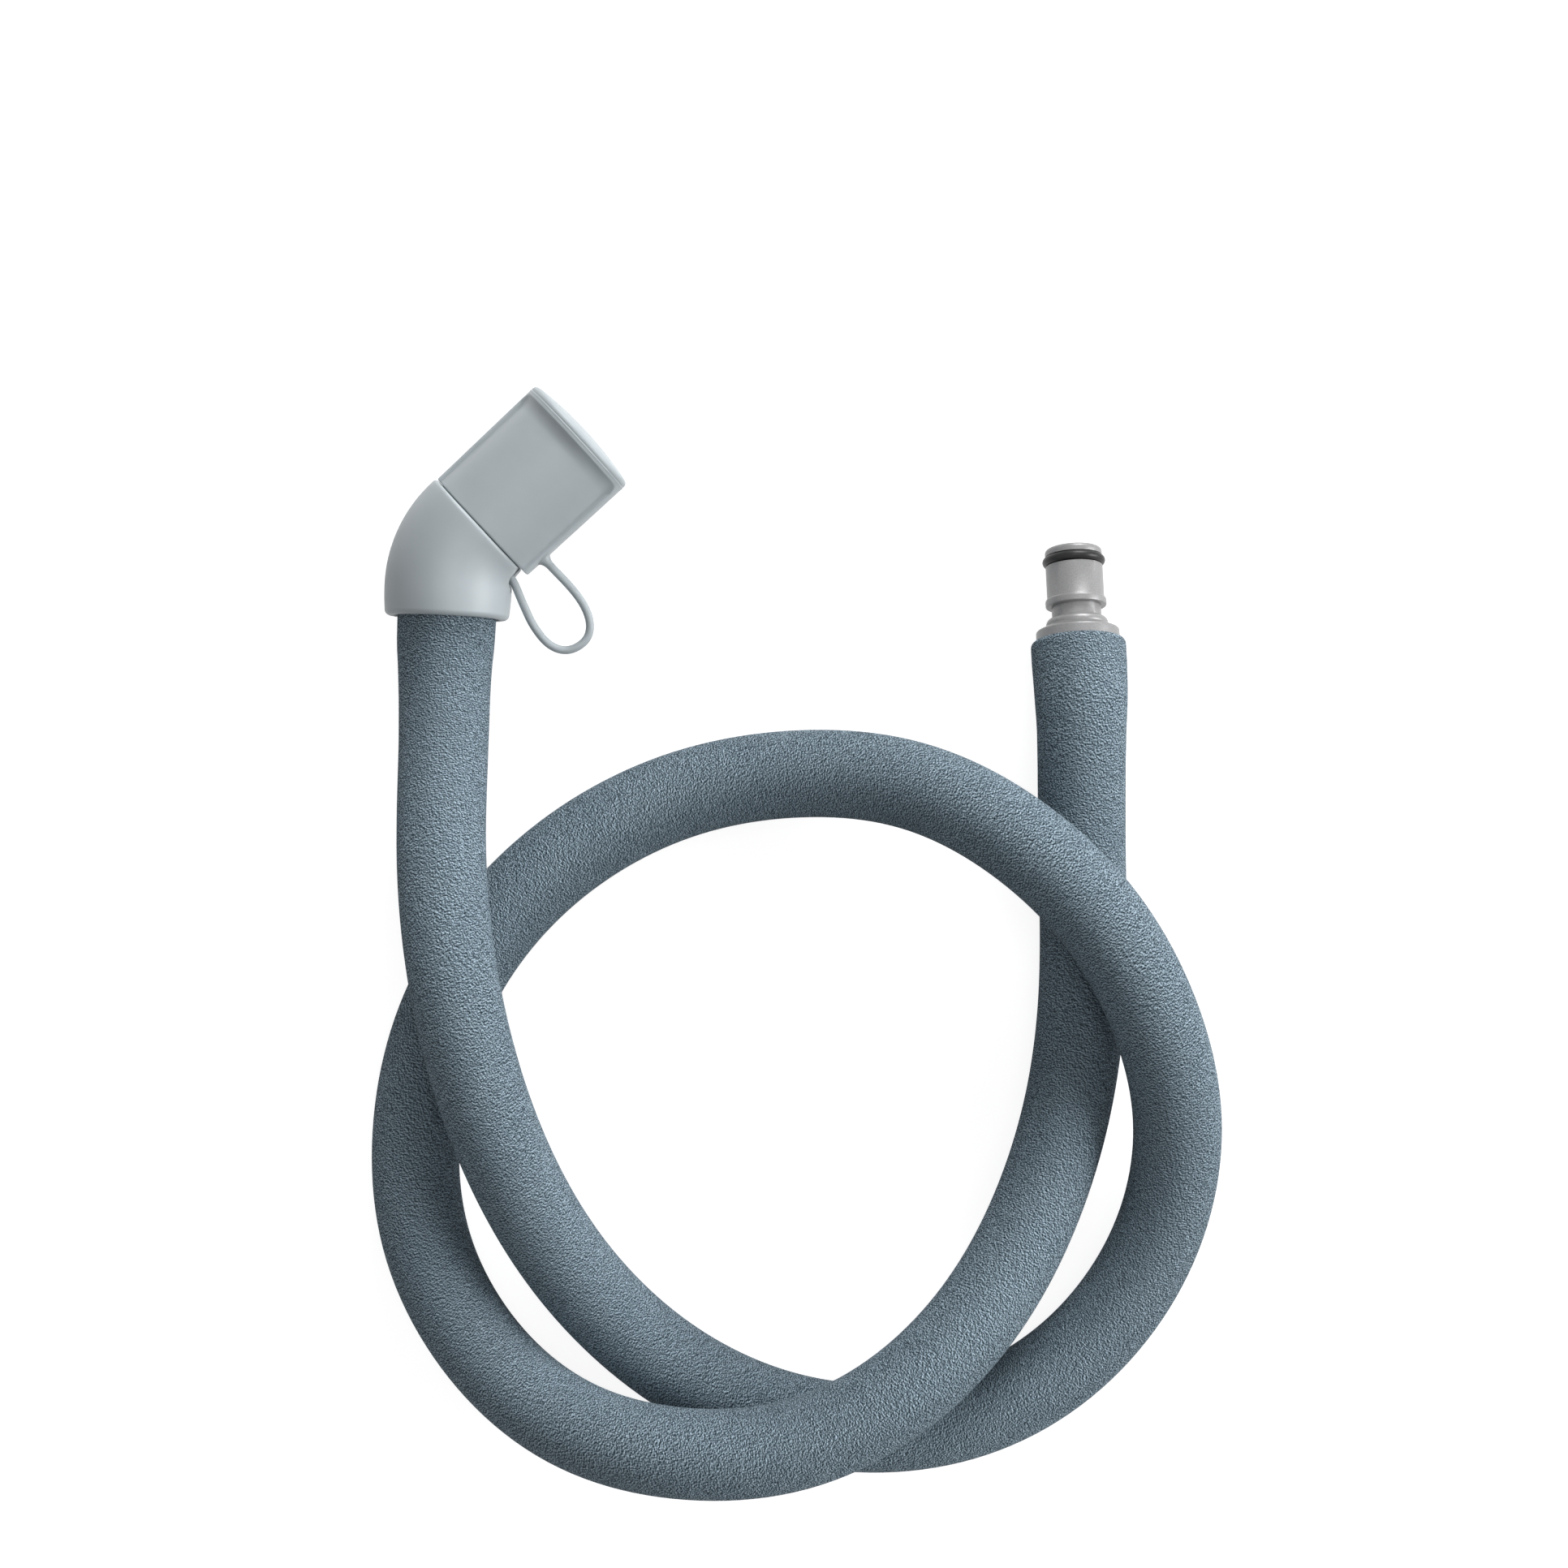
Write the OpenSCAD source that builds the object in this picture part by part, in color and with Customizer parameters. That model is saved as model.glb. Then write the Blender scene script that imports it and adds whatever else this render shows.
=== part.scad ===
// Insulated drinking hose, lying flat and tied in one loose overhand knot.
// A foam sleeve covers the drinking tube. One end has an elbow with a quarter-turn bite valve
// under a tethered dust cap, the other end a quick-connect plug.
// Millimetres, +Z up. The floor is Z = 0. The origin lies midway between the two end fittings.

/* [Drinking tube] */
// Bore of the drinking tube
tube_bore_d = 6.4; // [5.6:0.1:7]
// Outside diameter of the drinking tube
tube_d = 9.5; // [8.6:0.1:10.2]

/* [Foam sleeve] */
// Outside diameter of the foam sleeve
sleeve_d = 18; // [15:0.5:19]
// Outside diameter of the sleeve at the elbow's mouth
sleeve_elbow_end_d = 20.2; // [18:0.1:20.8]
// Outside diameter of the sleeve at the plug
sleeve_plug_end_d = 19.6; // [18:0.1:20.4]
// Rounding of the sleeve's rim at the plug
sleeve_rim_r = 1.2; // [0.5:0.1:1.8]
// How far the sleeve and the tube reach into the elbow's mouth
sleeve_in_elbow = 5; // [3:0.1:5]

/* [Barbs] */
// Outside diameter of a barb's teeth
barb_d = 8; // [7.4:0.1:8.6]
// Diameter of a barb between its teeth
barb_root_d = 6.9; // [6.4:0.1:7.2]
// Water way through a barb
water_way_d = 5; // [3.5:0.1:5.4]
// Length of a barb in the tube, from the tube's end
barb_length = 10; // [7:0.5:14]
// Teeth on a barb
barb_teeth = 3; // [2:1:5]

/* [Elbow] */
// Outside diameter of the elbow cover
elbow_d = 26; // [25.4:0.1:27]
// Outside diameter of the lip at the elbow's mouth
elbow_lip_d = 25.5; // [25:0.1:26]
// Rounding of the elbow's end at the cap
elbow_end_round = 0.6; // [0.4:0.1:1]
// Straight skirt from the mouth to the bend
elbow_skirt = 6.2; // [5:0.1:9]
// Straight length from the bend to the cap
elbow_outlet = 1.3; // [1:0.1:4]
// Bend radius of the elbow's centreline
elbow_bend_r = 17.4; // [16:0.1:24]
// Angle of the elbow's bend
elbow_angle = 44.5; // [36:0.5:52]
// Offset of the valve's axis from the middle of the elbow's end, to the inner side of the bend
valve_offset = 0.7; // [0:0.1:1]
// Outside diameter of the rigid elbow tube in the cover
fitting_d = 12; // [11.4:0.1:13]
// Thickness of the flange that the sleeve butts against
fitting_flange_t = 1.5; // [1:0.1:2]
// Diameter of the neck that the tether's ring sits on
fitting_neck_d = 17.2; // [16:0.1:17.8]

/* [Valve] */
// Diameter of the stem that carries the twist collar
stem_d = 10; // [9.2:0.1:10.6]
// Bore of the stem
stem_bore_d = 5.4; // [4:0.1:6]
// Diameter of the spigot that plugs into the elbow fitting
spigot_d = 9.2; // [8.4:0.1:9.6]
// Depth of the spigot in the elbow fitting
spigot_length = 4.4; // [3.6:0.1:4.8]
// Thickness of the stem's flange over the tether's ring
stem_flange_t = 1.7; // [1.3:0.1:1.9]
// Diameter of the seat that the dust cap slides over
cap_seat_d = 22.4; // [21.6:0.1:22.8]
// Height of the cap's seat
cap_seat_h = 2.4; // [2:0.1:3]
// Diameter of the twist collar's flange
collar_flange_d = 19.8; // [18.8:0.1:20.6]
// Height of the twist collar's flange
collar_flange_h = 2; // [1.5:0.1:2.5]
// Outside diameter of the twist collar's tube
collar_d = 13.6; // [12.8:0.1:13.8]
// Length of the twist collar's tube above its flange
collar_length = 9.7; // [9:0.1:10.4]
// Thickness of the bead on the collar that holds the mouthpiece
collar_bead = 0.8; // [0.5:0.1:1]
// Height of that bead over the collar's flange
collar_bead_h = 1.6; // [1.4:0.1:2]
// Diameter of the water ports
port_d = 3; // [2:0.1:3.2]
// Height of the water ports above the collar's flange
port_h = 4.2; // [4:0.1:4.6]
// Distance of each of the stem's O-rings from the ports
ring_spacing = 3; // [2.6:0.1:3.2]
// Turn that opens the valve
valve_turn = 90; // [60:5:100]
// Wire diameter of the valve's O-rings
valve_ring_wire = 1; // [0.8:0.1:1.1]
// Thickness of the snap ring that holds the twist collar
snap_ring_t = 0.8; // [0.6:0.1:1]
// Outside diameter of the snap ring
snap_ring_d = 12; // [11.4:0.1:12.4]

/* [Mouthpiece] */
// Height of the mouthpiece above the collar's flange
mouthpiece_h = 17.6; // [17:0.1:18.4]
// Outside diameter of the mouthpiece's base
mouthpiece_base_d = 18.4; // [17:0.1:19]
// Outside diameter of the part held in the teeth
mouthpiece_bite_d = 17.2; // [16.8:0.1:18.4]
// Outside diameter of the mouthpiece's waist
mouthpiece_waist_d = 16.4; // [16:0.1:16.8]
// Height of the mouthpiece's base
mouthpiece_base_h = 3; // [2.6:0.1:3.6]
// Depth of the mouthpiece's socket for the collar
mouthpiece_socket_h = 3.4; // [3:0.1:4]
// Height of the mouthpiece's waist
mouthpiece_waist_h = 5.6; // [4.6:0.1:7]
// Height at which the mouthpiece's dome starts
mouthpiece_dome_from = 11; // [10.6:0.1:12]
// Wall of the mouthpiece round its chamber
mouthpiece_wall = 0.9; // [0.6:0.1:1]
// Thickness of the mouthpiece's tip
mouthpiece_tip_t = 2; // [1.2:0.1:2.4]
// Width of the slit when relaxed
slit_w = 0.3; // [0.2:0.1:0.5]
// Length of the slit
slit_length = 9; // [6:0.5:10]

/* [Dust cap] */
// Length of the cap's side
cap_length = 26.3; // [25:0.1:30]
// How much narrower the cap is at its mouth
cap_draft = 0.6; // [0:0.1:0.8]
// Rise of the cap's domed end
cap_dome = 2.6; // [2:0.1:4]
// Rounding of the dome's edge
cap_edge_r = 1.3; // [0.8:0.1:1.6]
// Thickness of the cap's end behind the dome
cap_end_t = 2; // [1.5:0.1:2.5]
// Wall of the dust cap behind the middle of a grip recess
panel_wall = 1.24; // [0.8:0.02:2]
// Depth of the grip recess
recess_depth = 1.2; // [0.6:0.1:1.6]
// Height of the ledges beside the grip recess over the cap's middle
recess_ledge = 3.1; // [2:0.1:8]
// Border between the grip recess and the dome
recess_border = 0.8; // [0.6:0.1:4]
// Corner radius of the grip recess
recess_corner_r = 3; // [1:0.1:4]

/* [Tether] */
// Thickness of the tether
tether_d = 1.7; // [1.4:0.1:1.9]
// Droop of the loop's far end
tether_droop = 4; // [0:0.5:6]
// Height of the tether's root over the cap's mouth
tether_root_h = 4.6; // [4:0.05:6]
// Radius of the hollow in the elbow where the tether comes out
tether_exit_r = 1.9; // [1.6:0.1:2.4]
// Depth of that hollow at the tether
tether_exit_depth = 0.65; // [0.4:0.05:0.8]
// Width of the tether's ring from its bore to its rim
tether_ring_w = 1.55; // [1.2:0.05:1.7]
// Thickness of the tether's ring
tether_ring_t = 1.8; // [1.2:0.1:1.9]

/* [Plug] */
// Diameter of the plug's nose
plug_nose_d = 11.8; // [11.2:0.1:12.2]
// Length of the nose in front of the O-ring
plug_tip = 1.2; // [0.8:0.1:2]
// Length of the smooth land behind the O-ring
plug_land = 6.9; // [5:0.1:10]
// Diameter of the plug's flange
plug_flange_d = 12.6; // [12.2:0.1:14]
// Thickness of the plug's flange
plug_flange_t = 1.8; // [1:0.1:3]
// Diameter of the latch groove
plug_groove_d = 10.2; // [9.6:0.1:10.8]
// Width of the latch groove
plug_groove_w = 2.4; // [2:0.1:4]
// Diameter of the step behind the latch groove
plug_step_d = 12.8; // [12:0.1:14]
// Height of the step
plug_step_h = 2.6; // [1.5:0.1:4]
// Diameter of the shoulder that the sleeve butts against
plug_shoulder_d = 17.2; // [15:0.1:18]
// Thickness of the shoulder
plug_shoulder_t = 2.2; // [1.5:0.1:4]
// Wire diameter of the plug's O-ring
plug_ring_wire = 2; // [1.7:0.1:2.2]
// Outside diameter of the plug's O-ring
plug_ring_d = 13; // [12.6:0.1:13.4]
// Bore of the nose
plug_nose_bore_d = 6.8; // [5.6:0.1:7]
// Thickness of the cross in the nose that opens the socket's valve
plug_cross_t = 1; // [0.8:0.1:1.4]

/* [Clearances] */
// Gap between pieces that seat face to face
seat_gap = 0.05; // [0.02:0.01:0.1]
// Radial clearance of pieces that slide or turn on each other
running_gap = 0.06; // [0.03:0.01:0.1]
// Gap between the elbow and the dust cap
cap_gap = 0.35; // [0.2:0.05:0.5]
// Radial clearance between the foam sleeve and the tube in it
foam_gap = 0.1; // [0.05:0.05:0.2]
// Radial clearance between the foam sleeve and the elbow's mouth
mouth_gap = 0.25; // [0.1:0.05:0.3]
// Gap between the hose and itself where it passes over itself
hump_gap = 0.6; // [0.5:0.1:1.5]

/* [Hidden] */
$fn = 96;

// Colours
foam_blue = [0.43, 0.49, 0.53];
soft_grey = [0.66, 0.70, 0.71];
plug_grey = [0.65, 0.65, 0.65];
seal_black = [0.08, 0.08, 0.08];
clear_blue = [0.72, 0.80, 0.84];
rigid_grey = [0.50, 0.52, 0.54];
steel = [0.75, 0.75, 0.77];

// How finely a profile's rounds are stepped
round_steps = 6;
// Sides of the swept tubes
hose_sides = 12;
tether_sides = 8;
hose_corner = cos(180 / hose_sides);
// Depth that one form runs on inside another form of the same piece
overlap = 0.4;

// The dust cap slides over its seat
cap_bore_d = cap_seat_d + 2 * running_gap;
cap_d = cap_bore_d + 2 * (panel_wall + recess_depth);

// Elbow's place: the middle of its mouth, and its lean to the right of +Y
elbow_lean = 2.5;
mouth = [-62.6, -15.5, max(cap_d, elbow_d) / 2];
mouth_way = [sin(elbow_lean), cos(elbow_lean), 0];

// Plug's place: the middle of the sleeve's end, its lean to the left of +Y and its dip to the floor
plug_lean = 2;
plug_dip = 11;
plug_place = [67.5, -20, sleeve_plug_end_d / 2 + 0.2];
plug_way = [-sin(plug_lean) * cos(plug_dip), cos(plug_lean) * cos(plug_dip), -sin(plug_dip)];

// Lie of the hose from the elbow to the plug: x, y and lift, which is 0 where the hose lies on the
// floor and 1 where it lies on itself
route = [
    [-63, -28.5, 0.27], [-63, -40, 0.36], [-62.5, -63.5, 0.80], [-60, -86, 1.05],
    [-55, -109, 0.95], [-47, -131.5, 0.59], [-35, -152, 0.19], [-17.5, -169, 0],
    [3.5, -179.5, 0], [27, -183, 0], [50.5, -178, 0], [70, -164.5, 0],
    [83, -144.5, 0.1], [87, -120.5, 0.46], [81.5, -97, 0.89], [70, -76.5, 1.06],
    [53.5, -60.5, 0.94], [33, -50, 0.55], [10, -47.5, 0.17], [-13.5, -51.5, 0],
    [-35, -62, 0], [-52.5, -78, 0], [-64.5, -98.5, 0], [-69.5, -122, 0],
    [-67, -145.5, 0], [-55.5, -166, 0.15], [-36.5, -179.5, 0.60], [-14, -184, 0.97],
    [9, -182, 1.03], [29.5, -172, 1.01], [46, -156.5, 0.76], [58, -137, 0.38],
    [65.5, -115, 0.08], [68.5, -91.5, 0], [68.5, -68, 0], [68, -44, 0.17]
];
// Share of each end's swelling that the sleeve has at its rings, counted from that end
elbow_swelling = [1, 1, 0.9, 0.5, 0.1];
plug_swelling = [1, 1, 0.75, 0.1];
// Share of the barb's stretch that the tube has at its rings, counted from that end
elbow_stretch = [1, 1, 1, 0.3];
plug_stretch = [1, 1, 1];

// The hose's rings: straight over each barb, along the route between
barb_overrun = 1;
function hose_point(q) = [q[0], q[1], sleeve_d / 2 + q[2] * (sleeve_d + hump_gap)];
hose_path = concat(
    [for (s = [sleeve_in_elbow, 0, sleeve_in_elbow - barb_length - barb_overrun]) mouth + s * mouth_way],
    [for (q = route) hose_point(q)],
    [for (s = [barb_length + barb_overrun, sleeve_rim_r, 0]) plug_place - s * plug_way]
);
last_ring = len(hose_path) - 1;
hose_ways = [for (k = [0:last_ring])
    k < 2 ? -mouth_way : k > last_ring - 2 ? plug_way : unit(hose_path[k + 1] - hose_path[k - 1])];

// The tube keeps its wall's area where a barb stretches it
stretched_bore_d = barb_d + 2 * running_gap;
stretched_d = sqrt(pow(stretched_bore_d, 2) + pow(tube_d, 2) - pow(tube_bore_d, 2));

// Bores that other pieces fit in
mouth_bore_d = sleeve_elbow_end_d / hose_corner + 2 * mouth_gap;
tether_ring_d = fitting_neck_d + 2 * seat_gap + 2 * tether_ring_w;
pocket_d = tether_ring_d + 4 * running_gap;
stem_flange_d = pocket_d - 4 * running_gap;
collar_bore_d = stem_d + 2 * running_gap;

// Heights over the joint between the elbow and the cap, which is 0
ring_top = -stem_flange_t - seat_gap;
ring_bottom = ring_top - tether_ring_t;
neck_flange_t = 1.2;
neck_flange_top = ring_bottom - seat_gap;
pocket_floor = neck_flange_top - neck_flange_t - seat_gap;
spigot_end = -stem_flange_t - spigot_length;
seat_top = seat_gap + cap_seat_h;
collar_bottom = seat_top + running_gap;
collar_flange_top = collar_bottom + collar_flange_h;
collar_top = collar_flange_top + collar_length;
snap_bottom = collar_top + running_gap;
stem_top = snap_bottom + snap_ring_t + 1;
port_z = collar_flange_top + port_h;
mouthpiece_bottom = collar_flange_top + seat_gap;
cap_end = cap_gap + cap_length;

// Lugs under the twist collar and the arcs in the seat that stop them
lug_turn = 20;
lug_r = 8.2;
lug_w = 1;
lug_h = 1.1;

// The tether: how far out it starts at the cap and at its ring, and its loop between, as the
// distance from the cap's axis, the height over the joint and the share of the droop
tether_root = cap_d / 2 + 1.6;
tether_root_z = cap_gap + tether_root_h;
tether_exit = elbow_d / 2 - valve_offset - tether_exit_depth;
tether_tail = tether_exit - 0.6;
tether_tail_z = (ring_top + ring_bottom) / 2;
tether_loop = [
    [18.9, 5, 0.2], [23.6, 4.8, 0.5], [27.2, 3.9, 0.75], [29.5, 2.5, 0.9], [30.9, 0.4, 1],
    [31, -2, 1], [29.9, -4.5, 1], [27.1, -6.2, 0.85], [23.5, -6.3, 0.6], [20.9, -5.8, 0.4],
    [18.5, -5, 0.25], [16.3, -4.2, 0.12], [14.2, -3.4, 0.04]
];

// Heights over the sleeve's end at the plug
step_top = plug_shoulder_t + plug_step_h;
groove_top = step_top + plug_groove_w;
flange_top = groove_top + plug_flange_t;
land_top = flange_top + plug_land;
ring_groove_w = plug_ring_wire + 2 * seat_gap;
nose_top = land_top + ring_groove_w + plug_tip;
ring_groove_d = plug_ring_d - 2 * plug_ring_wire - 2 * seat_gap;

function unit(v) = v / norm(v);
function mix(a, b, t) = a + (b - a) * t;

// Points of a round, from angle a to angle b, with half axes rx and ry
function round_points(centre, rx, ry, a, b) =
    [for (i = [0:round_steps]) centre + [rx * cos(mix(a, b, i / round_steps)), ry * sin(mix(a, b, i / round_steps))]];

// Value of a list of shares at ring k, counted from both ends
function share(from_start, from_end, k) =
    max(k < len(from_start) ? from_start[k] : 0, last_ring - k < len(from_end) ? from_end[last_ring - k] : 0);

// One ring of a swept tube: a polygon whose flats touch the round of radius r, square to the way
function ring_points(centre, way, r, sides) =
    let (side = unit(cross(way, [0, 0, 1])), up = cross(side, way), corner = r / cos(180 / sides))
    [for (i = [0:sides - 1]) let (a = 360 * (i + 0.5) / sides) centre + corner * (cos(a) * side + sin(a) * up)];

// Tube with a bore, swept along a path with an outer and an inner radius at each ring
module swept_tube(path, ways, outer, inner, sides) {
    rings = len(path);
    points = concat(
        [for (k = [0:rings - 1]) each ring_points(path[k], ways[k], outer[k], sides)],
        [for (k = [0:rings - 1]) each ring_points(path[k], ways[k], inner[k], sides)]
    );
    bore = rings * sides;
    end = (rings - 1) * sides;
    faces = [for (i = [0:sides - 1]) let (j = (i + 1) % sides) each concat(
        [for (k = [0:rings - 2]) let (a = k * sides, b = a + sides) each [
            [a + i, a + j, b + j], [a + i, b + j, b + i],
            [bore + a + i, bore + b + j, bore + a + j], [bore + a + i, bore + b + i, bore + b + j]
        ]],
        [[i, bore + i, bore + j], [i, bore + j, j]],
        [[end + i, end + j, bore + end + j], [end + i, bore + end + j, bore + end + i]]
    )];
    polyhedron(points, faces, convexity = 12);
}

// Solid rod swept along a path
module swept_rod(path, ways, r, sides) {
    rings = len(path);
    end = (rings - 1) * sides;
    points = [for (k = [0:rings - 1]) each ring_points(path[k], ways[k], r, sides)];
    faces = concat(
        [for (k = [0:rings - 2]) for (i = [0:sides - 1]) let (a = k * sides, b = a + sides, j = (i + 1) % sides)
            each [[a + i, a + j, b + j], [a + i, b + j, b + i]]],
        [for (i = [1:sides - 2]) [0, i + 1, i]],
        [for (i = [1:sides - 2]) [end, end + i, end + i + 1]]
    );
    polyhedron(points, faces, convexity = 6);
}

// Frames: +Z runs out of the sleeve, and the elbow bends towards +X
module at_mouth() translate(mouth) rotate([0, 0, -elbow_lean]) rotate([-90, 0, 0]) children();
module at_bend_end() at_mouth() translate([elbow_bend_r, 0, elbow_skirt]) rotate([0, elbow_angle, 0])
    translate([-elbow_bend_r, 0, 0]) children();
module at_outlet() at_bend_end() translate([valve_offset, 0, elbow_outlet]) children();
module at_plug() translate(plug_place) rotate([0, 0, plug_lean]) rotate([-90 - plug_dip, 0, 0]) children();

// Round bar along the elbow's bend
module bend(d) at_mouth() translate([elbow_bend_r, 0, elbow_skirt]) rotate([90, 0, 180])
    rotate_extrude(angle = elbow_angle) translate([elbow_bend_r, 0]) circle(d = d);

// Disc or rod from one height to another
module disc(d, from, to) translate([0, 0, from]) cylinder(d = d, h = to - from);

// Ring of round wire that lies round the axis at a height
module wire_ring(d, wire, z) translate([0, 0, z]) rotate_extrude() translate([(d - wire) / 2, 0]) circle(d = wire, $fn = 32);

// Solid barb that reaches down from 0
module barb() {
    pitch = barb_length / barb_teeth;
    teeth = [for (i = [0:barb_teeth - 1]) let (z = i * pitch - barb_length) each
        [[barb_root_d / 2, z], [barb_d / 2, z + 0.7 * pitch], [barb_root_d / 2, z + 0.8 * pitch]]];
    rotate_extrude() polygon(concat([[0, -barb_length]], teeth, [[barb_root_d / 2, overlap], [0, overlap]]));
}

module foam_sleeve() color(foam_blue)
    swept_tube(hose_path, hose_ways,
        [for (k = [0:last_ring])
            k == last_ring ? sleeve_plug_end_d / 2 - sleeve_rim_r :
            mix(sleeve_d, k < last_ring / 2 ? sleeve_elbow_end_d : sleeve_plug_end_d,
                share(elbow_swelling, plug_swelling, k)) / 2],
        [for (k = [0:last_ring]) mix(tube_d, stretched_d, share(elbow_stretch, plug_stretch, k)) / 2 + foam_gap],
        hose_sides);

module drinking_tube() color(clear_blue)
    swept_tube(hose_path, hose_ways,
        [for (k = [0:last_ring]) mix(tube_d, stretched_d, share(elbow_stretch, plug_stretch, k)) / 2],
        [for (k = [0:last_ring]) mix(tube_bore_d, stretched_bore_d, share(elbow_stretch, plug_stretch, k)) / 2],
        hose_sides);

module plug_body() color(plug_grey) at_plug() {
    corner = 0.5;
    difference() {
        union() {
            translate([0, 0, seat_gap]) barb();
            rotate_extrude() polygon(concat(
                [[0, seat_gap], [plug_shoulder_d / 2, seat_gap]],
                round_points([plug_shoulder_d / 2 - corner, plug_shoulder_t - corner], corner, corner, 0, 90),
                round_points([plug_step_d / 2 - plug_step_h / 2, plug_shoulder_t + plug_step_h / 2],
                    plug_step_h / 2, plug_step_h / 2, -20, 90),
                [[plug_groove_d / 2, step_top], [plug_groove_d / 2, groove_top]],
                round_points([plug_flange_d / 2 - corner, groove_top + corner], corner, corner, -90, 0),
                round_points([plug_flange_d / 2 - corner, flange_top - corner], corner, corner, 0, 60),
                [[plug_nose_d / 2, flange_top + 0.1], [plug_nose_d / 2, land_top], [ring_groove_d / 2, land_top],
                 [ring_groove_d / 2, land_top + ring_groove_w], [plug_nose_d / 2, land_top + ring_groove_w]],
                round_points([plug_nose_d / 2 - 0.7, nose_top - 0.7], 0.7, 0.7, 0, 90),
                [[0, nose_top]]
            ));
        }
        disc(water_way_d, -barb_length - 1, step_top + 1);
        disc(plug_nose_bore_d, step_top, nose_top + 1);
    }
    for (turn = [0, 90])
        rotate([0, 0, turn]) translate([-plug_nose_bore_d / 2 - 0.2, -plug_cross_t / 2, step_top + 2])
            cube([plug_nose_bore_d + 0.4, plug_cross_t, nose_top - step_top - 3]);
}

module plug_o_ring() color(seal_black)
    at_plug() wire_ring(plug_ring_d, plug_ring_wire, land_top + ring_groove_w / 2);

module elbow_cover() color(soft_grey) {
    lip_round = 1.2;
    // The skirt and the outlet stand this far proud of the bend, with a bevel to it
    proud = 0.05;
    skirt_r = elbow_d / 2 + proud;
    // Middle of the round end of the tether's hollow, and how much deeper the hollow is at the cap
    exit_mid = [tether_exit + tether_exit_r, tether_tail_z + 0.35];
    exit_flare = 0.45;
    difference() {
        union() {
            at_mouth() rotate_extrude() polygon(concat(
                [[0, 0]],
                round_points([elbow_lip_d / 2 - lip_round, lip_round], lip_round, lip_round, -90, 0),
                [[skirt_r, elbow_skirt + proud], [skirt_r - overlap, elbow_skirt + 2 * overlap],
                 [0, elbow_skirt + 2 * overlap]]
            ));
            bend(elbow_d);
            at_bend_end() rotate_extrude() polygon(concat(
                [[0, -2 * overlap], [skirt_r - overlap, -2 * overlap], [skirt_r, -proud]],
                round_points([skirt_r - elbow_end_round, elbow_outlet - elbow_end_round],
                    elbow_end_round, elbow_end_round, 0, 90),
                [[0, elbow_outlet]]
            ));
        }
        at_mouth() disc(mouth_bore_d, -1, sleeve_in_elbow + fitting_flange_t + 3 * seat_gap);
        bend(fitting_d + 2 * seat_gap);
        at_outlet() disc(pocket_d, pocket_floor, 1);
        // Notch that lets the tether's tail out, and the hollow round its exit, which is open at the cap
        at_outlet() translate([fitting_neck_d / 2, -tether_d / 2 - 0.3, pocket_floor + 0.1])
            cube([elbow_d / 2, tether_d + 0.6, 1 - pocket_floor]);
        at_outlet() rotate([90, 0, 0]) linear_extrude(elbow_d / 2, center = true) polygon(concat(
            [[tether_exit - exit_flare, 1]],
            round_points(exit_mid, tether_exit_r, tether_exit_r, 180, 270),
            [[elbow_d, exit_mid[1] - tether_exit_r], [elbow_d, 1]]
        ));
    }
}

module elbow_fitting() color(rigid_grey) {
    flange_from = sleeve_in_elbow + seat_gap;
    flange_to = flange_from + fitting_flange_t;
    difference() {
        union() {
            at_mouth() translate([0, 0, flange_from]) barb();
            at_mouth() disc(mouth_bore_d - 2 * mouth_gap, flange_from, flange_to);
            bend(fitting_d);
            at_outlet() disc(fitting_neck_d + 2, neck_flange_top - neck_flange_t, neck_flange_top);
            at_outlet() disc(fitting_neck_d, neck_flange_top - neck_flange_t / 2, ring_top + overlap);
        }
        // The bend's end stands over the neck, and goes
        at_outlet() disc(pocket_d, ring_top, elbow_outlet + 1);
        // The water way widens a little in the bend
        at_mouth() disc(water_way_d, flange_from - barb_length - 1, elbow_skirt + overlap);
        bend(water_way_d + 0.4);
        at_outlet() disc(spigot_d + 2 * seat_gap, spigot_end - seat_gap, 1);
    }
}

module elbow_o_ring() color(seal_black)
    at_outlet() wire_ring(spigot_d, valve_ring_wire, (spigot_end - stem_flange_t) / 2);

module valve_stem() color(rigid_grey) at_outlet() {
    slot_turn = lug_turn + valve_turn + 4;
    difference() {
        union() {
            disc(spigot_d, spigot_end, 0);
            disc(stem_flange_d, -stem_flange_t, seat_gap);
            disc(cap_seat_d, seat_gap, seat_top);
            disc(stem_d, 0, stem_top);
        }
        disc(stem_bore_d, spigot_end - 1, port_z + port_d / 2 + 0.5);
        translate([0, 0, port_z]) rotate([90, 0, 0]) cylinder(d = port_d, h = 2 * stem_d, center = true);
        ring_groove(spigot_d, valve_ring_wire, (spigot_end - stem_flange_t) / 2);
        for (side = [-1, 1])
            ring_groove(stem_d + running_gap, valve_ring_wire, port_z + side * ring_spacing);
        ring_cut(stem_d - 1.4, stem_d + 2, snap_bottom - seat_gap, snap_bottom + snap_ring_t + seat_gap);
        // Arcs that the collar's lugs run in
        for (turn = [0, 180])
            rotate([0, 0, turn - lug_turn / 2 - 2]) translate([0, 0, seat_top - lug_h - 0.3])
                rotate_extrude(angle = slot_turn) translate([lug_r - lug_w / 2 - 0.2, 0])
                    square([lug_w + 0.4, lug_h + 1]);
    }
}

// Ring-shaped cut between two heights
module ring_cut(inner, outer, from, to) difference() {
    disc(outer, from, to);
    disc(inner, from - 1, to + 1);
}

// Groove that an O-ring of outside diameter d lies in
module ring_groove(d, wire, z)
    ring_cut(d - 2 * wire - 2 * seat_gap, d + 2, z - wire / 2 - seat_gap, z + wire / 2 + seat_gap);

module stem_o_rings() color(seal_black) at_outlet()
    for (side = [-1, 1]) wire_ring(stem_d + running_gap, valve_ring_wire, port_z + side * ring_spacing);

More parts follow.
